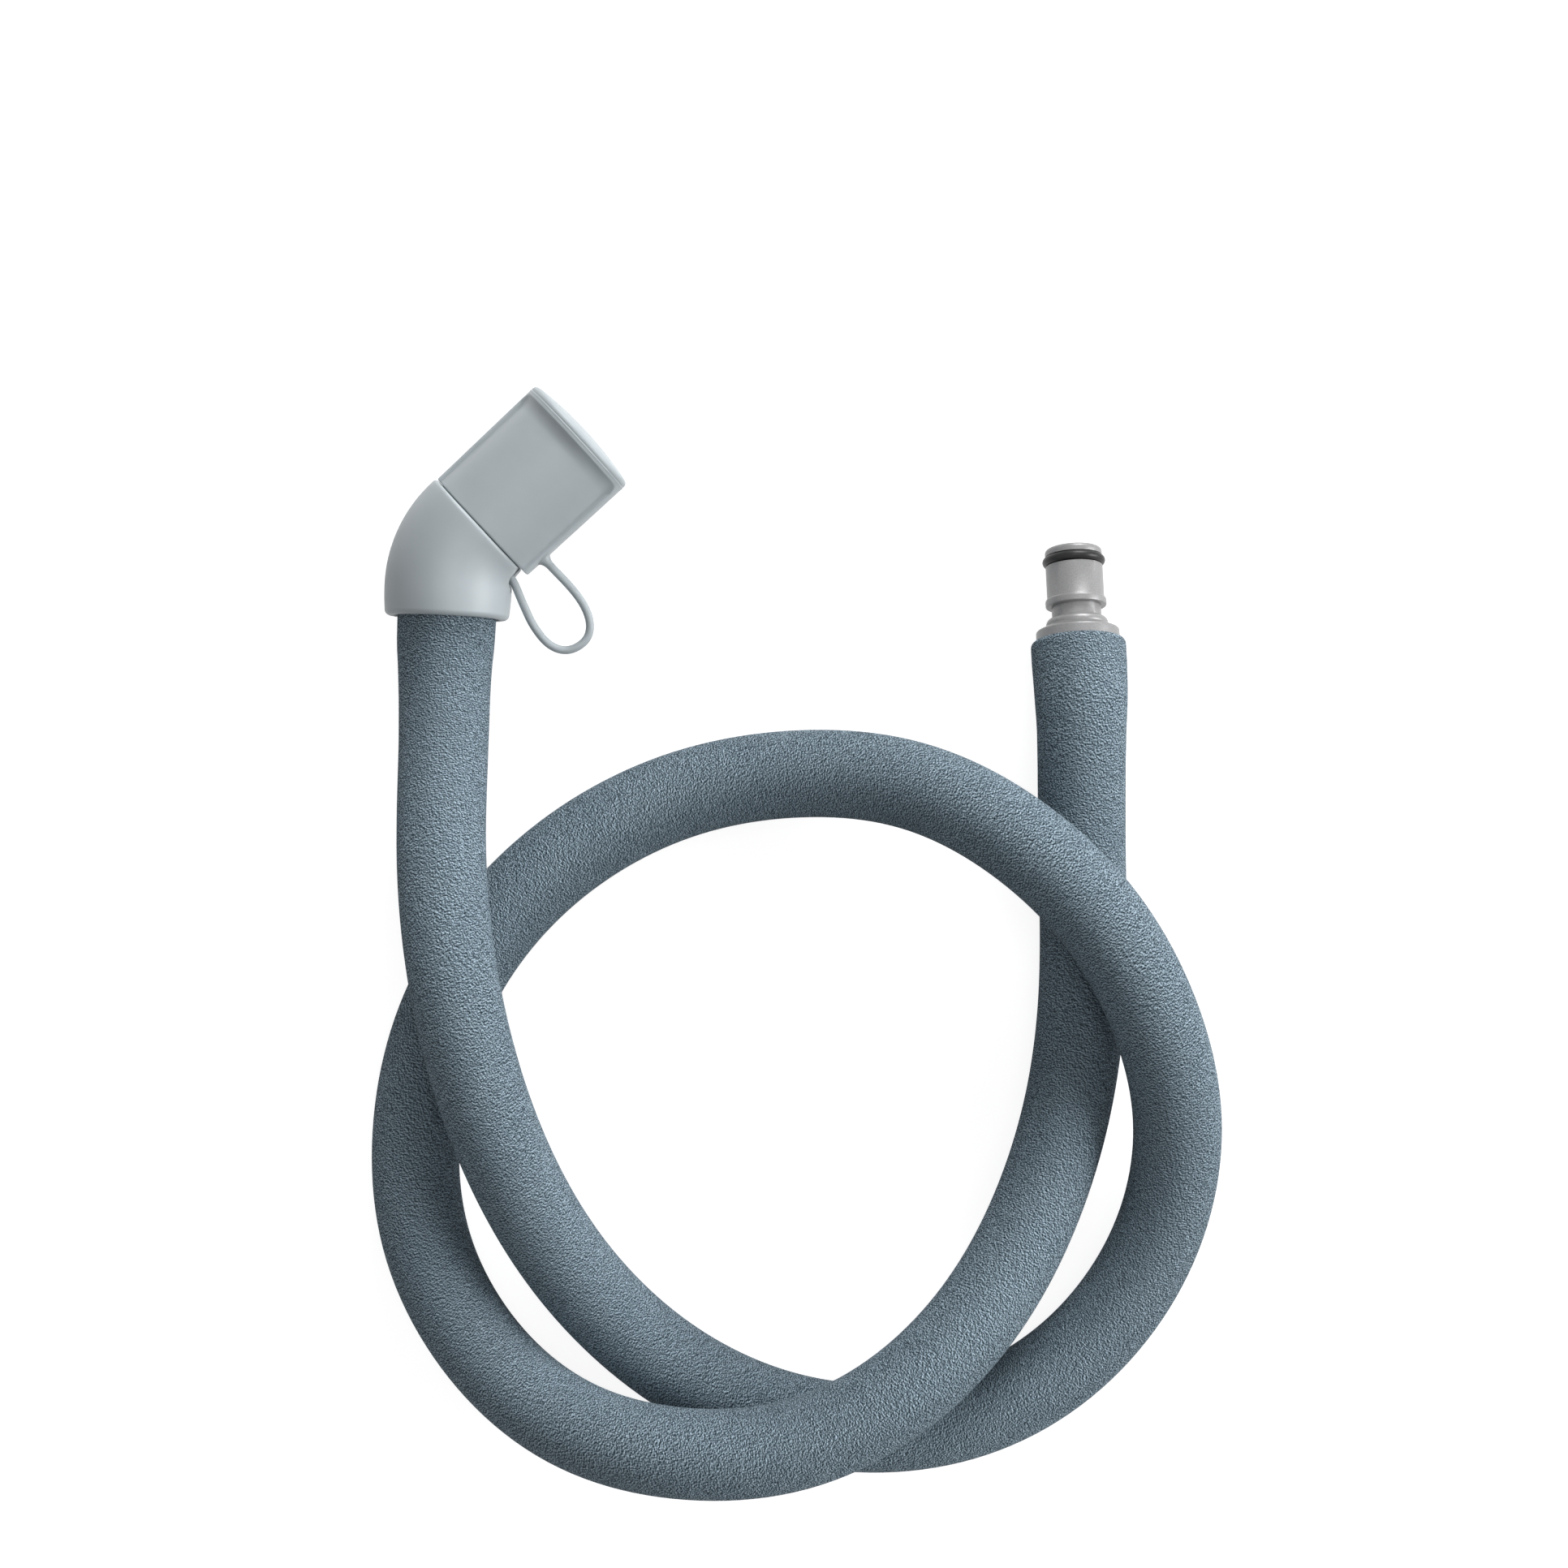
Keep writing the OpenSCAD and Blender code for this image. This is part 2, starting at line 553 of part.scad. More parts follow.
module snap_ring() color(steel) at_outlet()
    ring_cut(stem_d - 1.4 + 2 * seat_gap, snap_ring_d, snap_bottom, snap_bottom + snap_ring_t);

module tether_ring() color(soft_grey) at_outlet() difference() {
    union() {
        disc(tether_ring_d, ring_bottom, ring_top);
        translate([0, 0, tether_tail_z]) rotate([0, 90, 0]) cylinder(d = tether_d, h = tether_tail, $fn = 32);
    }
    disc(fitting_neck_d + 2 * seat_gap, ring_bottom - 1, ring_top + 1);
}

module cap_tether() color(soft_grey) {
    path = concat(
        [[tether_root + seat_gap, 0, tether_root_z]],
        [for (q = tether_loop) [q[0], tether_droop * q[2], q[1]]],
        [[tether_tail + seat_gap, 0, tether_tail_z]]
    );
    last = len(path) - 1;
    // The rings stand square to the loop, so their side lies across the joint's plane
    ways = [for (k = [0:last]) k == 0 ? [1, 0, 0] : k == last ? [-1, 0, 0] : unit(path[k + 1] - path[k - 1])];
    at_outlet() rotate([90, 0, 0])
        swept_rod([for (p = path) [p[0], p[2], -p[1]]], [for (w = ways) [w[0], w[2], -w[1]]],
            tether_d / 2, tether_sides);
}

module twist_collar() color(rigid_grey) at_outlet() {
    grips = 12;
    difference() {
        union() {
            disc(collar_flange_d, collar_bottom, collar_flange_top);
            disc(collar_d, collar_bottom, collar_top);
            wire_ring(collar_d + collar_bead, collar_bead, mouthpiece_bottom + collar_bead_h);
        }
        disc(collar_bore_d, collar_bottom - 1, collar_top + 1);
        translate([0, 0, port_z]) rotate([0, 90, 0]) cylinder(d = port_d, h = 2 * collar_d, center = true);
        for (i = [0:grips - 1])
            rotate([0, 0, 360 * (i + 0.5) / grips]) translate([collar_flange_d / 2 + 0.6, 0, collar_bottom - 1])
                cylinder(d = 2.4, h = collar_flange_h + 2);
    }
    for (turn = [0, 180])
        rotate([0, 0, turn - lug_turn / 2]) translate([0, 0, collar_bottom - lug_h])
            rotate_extrude(angle = lug_turn) translate([lug_r - lug_w / 2, 0]) square([lug_w, lug_h + 0.5]);
}

module mouthpiece() color(clear_blue) at_outlet() translate([0, 0, mouthpiece_bottom]) {
    dome_h = mouthpiece_h - mouthpiece_dome_from;
    chamber_d = mouthpiece_waist_d - 2 * mouthpiece_wall;
    base_top = [mouthpiece_base_d / 2, mouthpiece_base_h];
    waist = [mouthpiece_waist_d / 2, mouthpiece_waist_h];
    difference() {
        rotate_extrude() polygon(concat(
            [[0, 0], [mouthpiece_base_d / 2, 0], base_top],
            blend_points(base_top, waist),
            blend_points(waist, [mouthpiece_bite_d / 2, mouthpiece_dome_from]),
            round_points([0, mouthpiece_dome_from], mouthpiece_bite_d / 2, dome_h, 10, 90)
        ));
        disc(collar_d + 2 * seat_gap, -1, mouthpiece_socket_h);
        wire_ring(collar_d + collar_bead + 2 * seat_gap, collar_bead + 2 * seat_gap, collar_bead_h);
        rotate_extrude() polygon(concat(
            [[0, mouthpiece_socket_h], [chamber_d / 2, mouthpiece_socket_h]],
            round_points([0, mouthpiece_dome_from], chamber_d / 2, dome_h - mouthpiece_tip_t, 0, 90)
        ));
        translate([-slit_length / 2, -slit_w / 2, mouthpiece_h - mouthpiece_tip_t - 2])
            cube([slit_length, slit_w, mouthpiece_tip_t + 3]);
    }
}

// Points of an S-shaped blend between two points of a profile, without the first
function blend_points(a, b) =
    [for (i = [1:round_steps]) let (t = i / round_steps) [mix(a[0], b[0], (1 - cos(180 * t)) / 2), mix(a[1], b[1], t)]];

module dust_cap() color(soft_grey) at_outlet() {
    edge = round_points([cap_d / 2 - cap_edge_r, 0.4], cap_edge_r, 0.9 * cap_edge_r, 0, 78);
    dome_from = edge[round_steps];
    difference() {
        union() {
            translate([0, 0, cap_gap]) cylinder(d1 = cap_d - cap_draft, d2 = cap_d, h = cap_length);
            translate([0, 0, cap_end]) rotate_extrude() polygon(concat(
                [[0, 0], [cap_d / 2, 0]],
                edge,
                [for (i = [1:2 * round_steps]) let (t = 1 - i / round_steps / 2)
                    [dome_from[0] * t, mix(cap_dome, dome_from[1], t * t)]]
            ));
        }
        disc(cap_bore_d, -1, cap_end - cap_end_t);
        for (turn = [0, 180]) rotate([0, 0, turn]) grip_recess();
    }
    // Root of the tether, flared where it leaves the cap
    root_from = cap_d / 2 - 0.5;
    translate([0, 0, tether_root_z]) rotate([0, 90, 0]) rotate_extrude() polygon(concat(
        [[0, cap_bore_d / 2 + 0.4], [tether_d / 2 + 0.9, cap_bore_d / 2 + 0.4]],
        [[tether_d / 2 + 0.9, root_from]],
        [for (i = [1:round_steps]) let (t = i / round_steps)
            [tether_d / 2 + 0.9 * pow(1 - t, 2), mix(root_from, tether_root, t)]],
        [[0, tether_root]]
    ));
}

// Recess on one side of the cap: a sunk field between two ledges, open at the cap's mouth
module grip_recess() intersection() {
    half_w = cap_d / 2 + 1;
    corner = [half_w - recess_corner_r, cap_end - recess_border - recess_corner_r];
    ring_cut(cap_d - 2 * recess_depth, cap_d + 4, cap_gap - 1, cap_end);
    translate([0, -recess_ledge, 0]) rotate([90, 0, 0]) linear_extrude(cap_d) polygon(concat(
        [[-half_w, 0], [half_w, 0]],
        round_points(corner, recess_corner_r, recess_corner_r, 0, 90),
        round_points([-corner[0], corner[1]], recess_corner_r, recess_corner_r, 90, 180)
    ));
}

// Least gap between stretches of the hose that lie apart along it, measured from centre to centre
gap_steps = 6;
gap_samples = [for (k = [0:last_ring - 1]) for (i = [0:gap_steps - 1]) mix(hose_path[k], hose_path[k + 1], i / gap_steps)];
least_gap = min([for (i = [0:len(gap_samples) - 1]) for (j = [i + 6 * gap_steps:1:len(gap_samples) - 1])
    norm(gap_samples[i] - gap_samples[j])]) - sleeve_d;
hose_length = sum_length(hose_path);
function sum_length(p) = [for (i = [0:len(p) - 2]) norm(p[i + 1] - p[i])] * [for (i = [0:len(p) - 2]) 1];
echo(hose_length = hose_length, least_gap = least_gap);

foam_sleeve();
drinking_tube();
plug_body();
plug_o_ring();
elbow_cover();
elbow_fitting();
elbow_o_ring();
valve_stem();
stem_o_rings();
snap_ring();
tether_ring();
cap_tether();
twist_collar();
mouthpiece();
dust_cap();
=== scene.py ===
"""Insulated drinking hose lying in a loose overhand knot.

The camera, the hose's line, the materials, the pieces and the studio, in this order.
"""

import math

import bpy
import numpy as np
from mathutils import Matrix, Vector


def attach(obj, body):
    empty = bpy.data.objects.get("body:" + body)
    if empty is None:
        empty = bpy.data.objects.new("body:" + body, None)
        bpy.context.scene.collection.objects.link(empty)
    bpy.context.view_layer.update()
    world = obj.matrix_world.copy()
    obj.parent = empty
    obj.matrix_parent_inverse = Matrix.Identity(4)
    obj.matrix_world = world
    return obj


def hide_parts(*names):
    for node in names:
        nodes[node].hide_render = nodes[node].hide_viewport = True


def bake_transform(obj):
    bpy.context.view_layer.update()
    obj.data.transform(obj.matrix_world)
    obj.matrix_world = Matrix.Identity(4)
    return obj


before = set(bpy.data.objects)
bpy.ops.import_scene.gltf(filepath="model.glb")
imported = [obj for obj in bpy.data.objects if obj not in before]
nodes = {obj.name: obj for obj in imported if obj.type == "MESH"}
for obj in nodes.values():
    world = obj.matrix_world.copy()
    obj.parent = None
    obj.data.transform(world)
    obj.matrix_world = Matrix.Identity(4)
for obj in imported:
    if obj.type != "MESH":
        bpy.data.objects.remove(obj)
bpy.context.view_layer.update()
MM = 0.001

# ---------------------------------------------------------------- camera
camera_data = bpy.data.cameras.new("camera")
camera = bpy.data.objects.new("camera", camera_data)
bpy.context.scene.collection.objects.link(camera)
bpy.context.scene.camera = camera
camera.location = (0.00668, -0.0496, 0.600)
camera_data.sensor_width = 36
camera_data.lens = 65.5
camera_data.clip_start = 0.05
camera_data.clip_end = 20

# ---------------------------------------------------------------- the hose's line, in millimetres
SLEEVE_D = 18.0
HUMP = 18.6
LEAN = 2.5
MOUTH = Vector((-62.6, -15.5, 13.7))
MOUTH_WAY = Vector((math.sin(math.radians(LEAN)), math.cos(math.radians(LEAN)), 0))
PLUG_LEAN = 2.0
PLUG_DIP = 11.0
PLUG = Vector((67.5, -20, 10))
PLUG_WAY = Vector(
    (
        -math.sin(math.radians(PLUG_LEAN)) * math.cos(math.radians(PLUG_DIP)),
        math.cos(math.radians(PLUG_LEAN)) * math.cos(math.radians(PLUG_DIP)),
        -math.sin(math.radians(PLUG_DIP)),
    )
)
IN_ELBOW = 5.0
# Straight lengths behind the elbow's mouth and before the plug, and the sleeve's rounded rim there
STRAIGHT_AT_ELBOW, STRAIGHT_AT_PLUG, SLEEVE_RIM = 6, 11, 1.2
HOSE_STEP, TETHER_STEP = 2.4, 0.6
# x, y and lift of the route, the lift being 0 on the floor and 1 on another strand
ROUTE = [
    (-63, -28.5, 0.27), (-63, -40, 0.36), (-62.5, -63.5, 0.80), (-60, -86, 1.05),
    (-55, -109, 0.95), (-47, -131.5, 0.59), (-35, -152, 0.19), (-17.5, -169, 0),
    (3.5, -179.5, 0), (27, -183, 0), (50.5, -178, 0), (70, -164.5, 0),
    (83, -144.5, 0.1), (87, -120.5, 0.46), (81.5, -97, 0.89), (70, -76.5, 1.06),
    (53.5, -60.5, 0.94), (33, -50, 0.55), (10, -47.5, 0.17), (-13.5, -51.5, 0),
    (-35, -62, 0), (-52.5, -78, 0), (-64.5, -98.5, 0), (-69.5, -122, 0),
    (-67, -145.5, 0), (-55.5, -166, 0.15), (-36.5, -179.5, 0.60), (-14, -184, 0.97),
    (9, -182, 1.03), (29.5, -172, 1.01), (46, -156.5, 0.76), (58, -137, 0.38),
    (65.5, -115, 0.08), (68.5, -91.5, 0), (68.5, -68, 0), (68, -44, 0.17),
]


def spline(points, start_way, end_way, step):
    """Points every step mm along a cubic spline through points, and how far along each lies."""
    samples = 6000
    p = np.array([tuple(q) for q in points], float)
    h = np.linalg.norm(np.diff(p, axis=0), axis=1)
    t = np.concatenate([[0], np.cumsum(h)])
    n = len(p)
    a = np.zeros((n, n))
    b = np.zeros((n, 3))
    a[0, 0] = a[-1, -1] = 1
    b[0] = tuple(start_way)
    b[-1] = tuple(end_way)
    for i in range(1, n - 1):
        a[i, i - 1] = h[i]
        a[i, i] = 2 * (h[i - 1] + h[i])
        a[i, i + 1] = h[i - 1]
        after = h[i - 1] * (p[i + 1] - p[i]) / h[i]
        before = h[i] * (p[i] - p[i - 1]) / h[i - 1]
        b[i] = 3 * (after + before)
    m = np.linalg.solve(a, b)

    def at(x):
        i = np.clip(np.searchsorted(t, x, side="right") - 1, 0, n - 2)
        s = ((x - t[i]) / h[i])[:, None]
        hi = h[i][:, None]
        return (
            (2 * s**3 - 3 * s**2 + 1) * p[i]
            + (s**3 - 2 * s**2 + s) * hi * m[i]
            + (3 * s**2 - 2 * s**3) * p[i + 1]
            + (s**3 - s**2) * hi * m[i + 1]
        )

    fine = at(np.linspace(0, t[-1], samples))
    along = np.concatenate([[0], np.cumsum(np.linalg.norm(np.diff(fine, axis=0), axis=1))])
    wanted = np.linspace(0, along[-1], max(8, int(along[-1] / step)) + 1)
    return np.stack([np.interp(wanted, along, fine[:, k]) for k in range(3)], axis=1), wanted


hose_points = (
    [MOUTH + MOUTH_WAY * IN_ELBOW, MOUTH, MOUTH - MOUTH_WAY * STRAIGHT_AT_ELBOW]
    + [Vector((x, y, SLEEVE_D / 2 + lift * HUMP)) for x, y, lift in ROUTE]
    + [PLUG - PLUG_WAY * STRAIGHT_AT_PLUG, PLUG - PLUG_WAY * SLEEVE_RIM, PLUG]
)
line, along = spline(hose_points, -MOUTH_WAY, PLUG_WAY, HOSE_STEP)
HOSE_LENGTH = along[-1]


# ---------------------------------------------------------------- mesh helpers, in millimetres
def add_mesh(name, points, faces, attribute=None, smooth=True, sharp_angle=None):
    """A mesh object made of points in millimetres."""
    mesh = bpy.data.meshes.new(name)
    mesh.from_pydata([tuple(float(c) * MM for c in p) for p in points], [], faces)
    mesh.validate()
    if attribute is not None:
        layer = mesh.attributes.new("along_tube", "FLOAT_VECTOR", "POINT")
        layer.data.foreach_set("vector", np.array(attribute, np.float32).ravel())
    for polygon in mesh.polygons:
        polygon.use_smooth = smooth
    mesh.update()
    if sharp_angle is not None:
        mesh.set_sharp_from_angle(angle=math.radians(sharp_angle))
    piece = bpy.data.objects.new(name, mesh)
    bpy.context.scene.collection.objects.link(piece)
    return piece


def directions(path):
    """Unit way, side and up at each point of a path."""
    way = np.gradient(path, axis=0)
    way /= np.linalg.norm(way, axis=1)[:, None]
    side = np.cross(way, [0, 0, 1.0])
    side /= np.linalg.norm(side, axis=1)[:, None]
    return way, side, np.cross(side, way)


def tube(name, path, along, outer, inner, sides):
    """A tube with a bore and closed ends, pressed flat where it meets the floor."""
    way, side, up = directions(path)
    angle = np.linspace(0, 2 * math.pi, sides, endpoint=False)
    points, where = [], []
    for radius in (outer, inner):
        for k in range(len(path)):
            for a in angle:
                point = path[k] + radius[k] * (math.cos(a) * side[k] + math.sin(a) * up[k])
                points.append((point[0], point[1], max(point[2], 0)))
                where.append((radius[k] * math.cos(a), radius[k] * math.sin(a), along[k]))
    rings = len(path)
    bore = rings * sides
    faces = []
    for k in range(rings - 1):
        for i in range(sides):
            j = (i + 1) % sides
            a, b = k * sides, (k + 1) * sides
            faces.append((a + i, a + j, b + j, b + i))
            faces.append((bore + a + i, bore + b + i, bore + b + j, bore + a + j))
    last = (rings - 1) * sides
    for i in range(sides):
        j = (i + 1) % sides
        faces.append((i, bore + i, bore + j, j))
        faces.append((last + i, last + j, bore + last + j, bore + last + i))
    return add_mesh(name, points, faces, where)


def turned(name, rings, segments, closed=False, sharp_angle=None):
    """A skin through rings, each of which is a frame, a height and a radius in it."""
    points, faces = [], []
    for place, height, radius in rings:
        for i in range(segments):
            a = 2 * math.pi * i / segments
            points.append(place @ Vector((radius * math.cos(a), radius * math.sin(a), height)))
    count = len(rings)
    for k in range(count if closed else count - 1):
        a, b = k * segments, ((k + 1) % count) * segments
        for i in range(segments):
            j = (i + 1) % segments
            faces.append((a + i, a + j, b + j, b + i))
    return add_mesh(name, points, faces, sharp_angle=sharp_angle)


def arc(cx, cy, rx, ry, start, end, steps=8):
    """Points of an ellipse's arc, as (radius, height)."""
    return [
        (
            cx + rx * math.cos(math.radians(start + (end - start) * i / steps)),
            cy + ry * math.sin(math.radians(start + (end - start) * i / steps)),
        )
        for i in range(steps + 1)
    ]


# ---------------------------------------------------------------- frames of the fittings
ELBOW_BEND_R = 17.4
ELBOW_SKIRT = 6.2
ELBOW_ANGLE = 44.5
ELBOW_OUTLET = 1.3
VALVE_OFFSET = 0.7
at_mouth = (
    Matrix.Translation(MOUTH)
    @ Matrix.Rotation(math.radians(-LEAN), 4, "Z")
    @ Matrix.Rotation(math.radians(-90), 4, "X")
)


def at_bend(angle):
    """Frame on the elbow's line, that far round the bend."""
    return (
        at_mouth
        @ Matrix.Translation((ELBOW_BEND_R, 0, ELBOW_SKIRT))
        @ Matrix.Rotation(math.radians(angle), 4, "Y")
        @ Matrix.Translation((-ELBOW_BEND_R, 0, 0))
    )


at_bend_end = at_bend(ELBOW_ANGLE)
at_outlet = at_bend_end @ Matrix.Translation((VALVE_OFFSET, 0, ELBOW_OUTLET))
at_plug = (
    Matrix.Translation(PLUG)
    @ Matrix.Rotation(math.radians(PLUG_LEAN), 4, "Z")
    @ Matrix.Rotation(math.radians(-90 - PLUG_DIP), 4, "X")
)


# ---------------------------------------------------------------- materials
def linear(r, g, b):
    """Linear colour from sRGB values of 0 to 255."""
    shares = (r / 255, g / 255, b / 255)
    return tuple(
        c / 12.92 if c <= 0.04045 else ((c + 0.055) / 1.055) ** 2.4 for c in shares
    ) + (1.0,)


class Finish:
    """A node material with a Principled shader."""

    def __init__(self, name, roughness=0.5, specular=0.5):
        self.material = bpy.data.materials.new(name)
        self.material.use_nodes = True
        self.tree = self.material.node_tree
        self.tree.nodes.clear()
        out = self.tree.nodes.new("ShaderNodeOutputMaterial")
        self.shader = self.tree.nodes.new("ShaderNodeBsdfPrincipled")
        self.tree.links.new(self.shader.outputs[0], out.inputs[0])
        self.shader.inputs["Roughness"].default_value = roughness
        self.shader.inputs["Specular IOR Level"].default_value = specular
        self.material.diffuse_color = (0.5, 0.5, 0.5, 1)

    def node(self, kind, **values):
        made = self.tree.nodes.new(kind)
        for key, value in values.items():
            setattr(made, key, value)
        return made

    def link(self, a, b):
        self.tree.links.new(a, b)

    def set(self, name, value):
        self.shader.inputs[name].default_value = value

    def tube_place(self, scale):
        """Coordinates that follow the tube, in millimetres times scale."""
        source = self.node("ShaderNodeAttribute", attribute_name="along_tube")
        mapping = self.node("ShaderNodeMapping")
        mapping.inputs["Scale"].default_value = scale
        self.link(source.outputs["Vector"], mapping.inputs["Vector"])
        return mapping.outputs["Vector"]

    def place(self):
        """The piece's own coordinates, in millimetres."""
        scale = 1 / MM
        source = self.node("ShaderNodeTexCoord")
        mapping = self.node("ShaderNodeMapping")
        mapping.inputs["Scale"].default_value = (scale, scale, scale)
        self.link(source.outputs["Object"], mapping.inputs["Vector"])
        return mapping.outputs["Vector"]

    def noise(self, where, scale, detail, rough):
        made = self.node("ShaderNodeTexNoise")
        made.inputs["Scale"].default_value = scale
        made.inputs["Detail"].default_value = detail
        made.inputs["Roughness"].default_value = rough
        self.link(where, made.inputs["Vector"])
        return made.outputs[0]

    def painted_emboss(self, where, step, scale, detail, rough):
        """How much a noise falls over a small step, round 0.5: painted light and shade, as an
        embossed look.
        """
        stepped = self.node("ShaderNodeVectorMath", operation="ADD")
        stepped.inputs[1].default_value = step
        self.link(where, stepped.inputs[0])
        fall = self.node("ShaderNodeMath", operation="SUBTRACT")
        self.link(self.noise(where, scale, detail, rough), fall.inputs[0])
        self.link(self.noise(stepped.outputs[0], scale, detail, rough), fall.inputs[1])
        raised = self.node("ShaderNodeMath", operation="ADD")
        raised.inputs[1].default_value = 0.5
        self.link(fall.outputs[0], raised.inputs[0])
        return raised.outputs[0]

    def ramp(self, value, stops):
        made = self.node("ShaderNodeValToRGB")
        ramp = made.color_ramp
        while len(ramp.elements) < len(stops):
            ramp.elements.new(0.5)
        for element, (position, colour) in zip(ramp.elements, stops):
            element.position = position
            element.color = colour
        self.link(value, made.inputs[0])
        return made.outputs[0]

    def bump(self, height, distance, strength):
        made = self.node("ShaderNodeBump")
        made.inputs["Distance"].default_value = distance
        made.inputs["Strength"].default_value = strength
        self.link(height, made.inputs["Height"])
        return made.outputs[0]

    def spread(self, value, low, high):
        """Value of 0 to 1 as low to high."""
        made = self.node("ShaderNodeMapRange")
        made.inputs["To Min"].default_value = low
        made.inputs["To Max"].default_value = high
        self.link(value, made.inputs["Value"])
        return made.outputs[0]

    def colour(self, socket):
        self.link(socket, self.shader.inputs["Base Color"])

    def normal(self, socket):
        self.link(socket, self.shader.inputs["Normal"])

    def mottle(self, value, dark, pale, until=0.7):
        """Base colour from a noise, between two sRGB colours."""
        self.colour(self.ramp(value, [(0.3, linear(*dark)), (until, linear(*pale))]))

    def sheen(self, value, low, high):
        """Roughness from a noise, from low to high."""
        self.link(self.spread(value, low, high), self.shader.inputs["Roughness"])

    def grain(self, value, distance, strength):
        """Relief from a noise, as deep as distance."""
        self.normal(self.bump(value, distance, strength))


def dress(piece, finish):
    """Gives every slot of a piece this finish."""
    if not piece.material_slots:
        piece.data.materials.append(finish.material)
    for slot in piece.material_slots:
        slot.material = finish.material


# Foam: painted light and shade on fine crumb grains, each pale on one flank and dark on the other
# as if lit from one side, over soft wrinkles
foam = Finish("foam", roughness=0.8, specular=0.12)
painted_crumb_shade = foam.painted_emboss(foam.tube_place((1.0, 1.0, 1.25)), (0.12, 0.0, 0.23), 2.5, 2.0, 0.6)
wrinkles = foam.noise(foam.tube_place((1.0, 1.0, 1.8)), 1.9, 2.0, 0.6)
clouds = foam.noise(foam.tube_place((1.0, 1.0, 1.0)), 0.09, 2.0, 0.5)
# Painted shade to painted highlight across each crumb's two sides, in the base colour
painted_shade_colour = foam.ramp(
    painted_crumb_shade,
    [(0.34, linear(54, 68, 77)), (0.50, linear(126, 146, 159)), (0.66, linear(208, 229, 243))],
)
mixed = foam.node("ShaderNodeMix", data_type="RGBA", blend_type="MULTIPLY")
mixed.inputs["Factor"].default_value = 1.0
foam.link(painted_shade_colour, mixed.inputs["A"])
foam.link(
    foam.ramp(clouds, [(0.3, (0.93, 0.94, 0.95, 1)), (0.7, (1.0, 1.0, 1.0, 1))]),
    mixed.inputs["B"],
)
foam.colour(mixed.outputs["Result"])
foam.grain(wrinkles, 0.0015, 1.0)

# Soft cover of the elbow and the cap: fine matt moulding
soft = Finish("soft_cover", roughness=0.45, specular=0.4)
soft.set("Subsurface Weight", 0.5)
soft.set("Subsurface Radius", (1.0, 1.0, 1.0))
soft.set("Subsurface Scale", 0.002)
at = soft.place()
soft.mottle(soft.noise(at, 0.06, 3.0, 0.6), (170, 178, 182), (176, 184, 188))
soft.sheen(soft.noise(at, 0.5, 4.0, 0.6), 0.40, 0.52)
soft.grain(soft.noise(at, 9.0, 2.0, 0.5), 0.00002, 0.5)

# Plug: satin grey plastic with a metallic flake
silver = Finish("plug_plastic", roughness=0.36, specular=0.5)
at = silver.place()
silver.mottle(silver.noise(at, 7.0, 2.0, 0.6), (128, 128, 129), (158, 158, 159))
silver.sheen(silver.noise(at, 5.0, 3.0, 0.6), 0.30, 0.44)
silver.grain(silver.noise(at, 8.0, 2.0, 0.5), 0.00003, 0.5)
silver.set("Metallic", 0.3)

# Seals: black rubber, a little dusty
seal = Finish("seal_rubber", roughness=0.38, specular=0.35)
at = seal.place()
seal.mottle(seal.noise(at, 1.2, 4.0, 0.6), (13, 13, 14), (27, 27, 28), 0.75)
seal.sheen(seal.noise(at, 2.0, 3.0, 0.6), 0.30, 0.46)

# Valve: grey plastic with a fine grain
rigid = Finish("valve_plastic", roughness=0.5, specular=0.45)
at = rigid.place()
rigid.mottle(rigid.noise(at, 0.2, 3.0, 0.6), (118, 124, 128), (132, 138, 142))
rigid.sheen(rigid.noise(at, 1.5, 3.0, 0.6), 0.42, 0.58)
rigid.grain(rigid.noise(at, 4.0, 3.0, 0.5), 0.00004, 0.6)

# Mouthpiece: milky soft rubber
milky = Finish("mouth_rubber", roughness=0.32, specular=0.5)
at = milky.place()
milky.mottle(milky.noise(at, 0.15, 3.0, 0.6), (176, 196, 208), (192, 210, 220))
milky.sheen(milky.noise(at, 1.0, 3.0, 0.6), 0.26, 0.40)
milky.set("Subsurface Weight", 0.3)
milky.set("Subsurface Radius", (0.002, 0.003, 0.004))
milky.set("Subsurface Scale", 1.0)

# Tube: clear soft plastic with a blue tint, seen only at its ends
clear = Finish("clear_tube", roughness=0.2, specular=0.5)
at = clear.tube_place((1.0, 1.0, 1.0))
clear.mottle(clear.noise(at, 0.2, 2.0, 0.5), (186, 206, 220), (200, 216, 228))
clear.sheen(clear.noise(at, 0.8, 3.0, 0.6), 0.15, 0.3)
clear.set("Transmission Weight", 0.6)
clear.set("IOR", 1.42)

# Snap ring: bright steel, a little clouded
steel = Finish("ring_steel", roughness=0.3, specular=0.5)
at = steel.place()
steel.mottle(steel.noise(at, 2.0, 3.0, 0.6), (176, 177, 180), (202, 203, 205))
steel.sheen(steel.noise(at, 4.0, 4.0, 0.7), 0.22, 0.42)
steel.set("Metallic", 1.0)

# ---------------------------------------------------------------- foam sleeve and drinking tube
from_end = HOSE_LENGTH - along
# The sleeve's radius near each end, by the distance from the elbow's mouth and from the plug
SLEEVE_PLUG_R = 9.8
ELBOW_SWELL = (
    [-5, 0, 5.8, 9.9, 15.9, 26, 45],
    [10.1, 10.1, 9.98, 9.62, 9.35, 9.15, 9.0],
)
PLUG_SWELL = (
    [0, 4.7, 11.4, 14.7, 18, 26, 45],
    [SLEEVE_PLUG_R, SLEEVE_PLUG_R, 9.6, 9.43, 9.2, 9.05, 9.0],
)
outer = np.full(len(along), SLEEVE_D / 2)
outer = np.maximum(outer, np.interp(along - IN_ELBOW, *ELBOW_SWELL))
outer = np.maximum(outer, np.interp(from_end, *PLUG_SWELL))
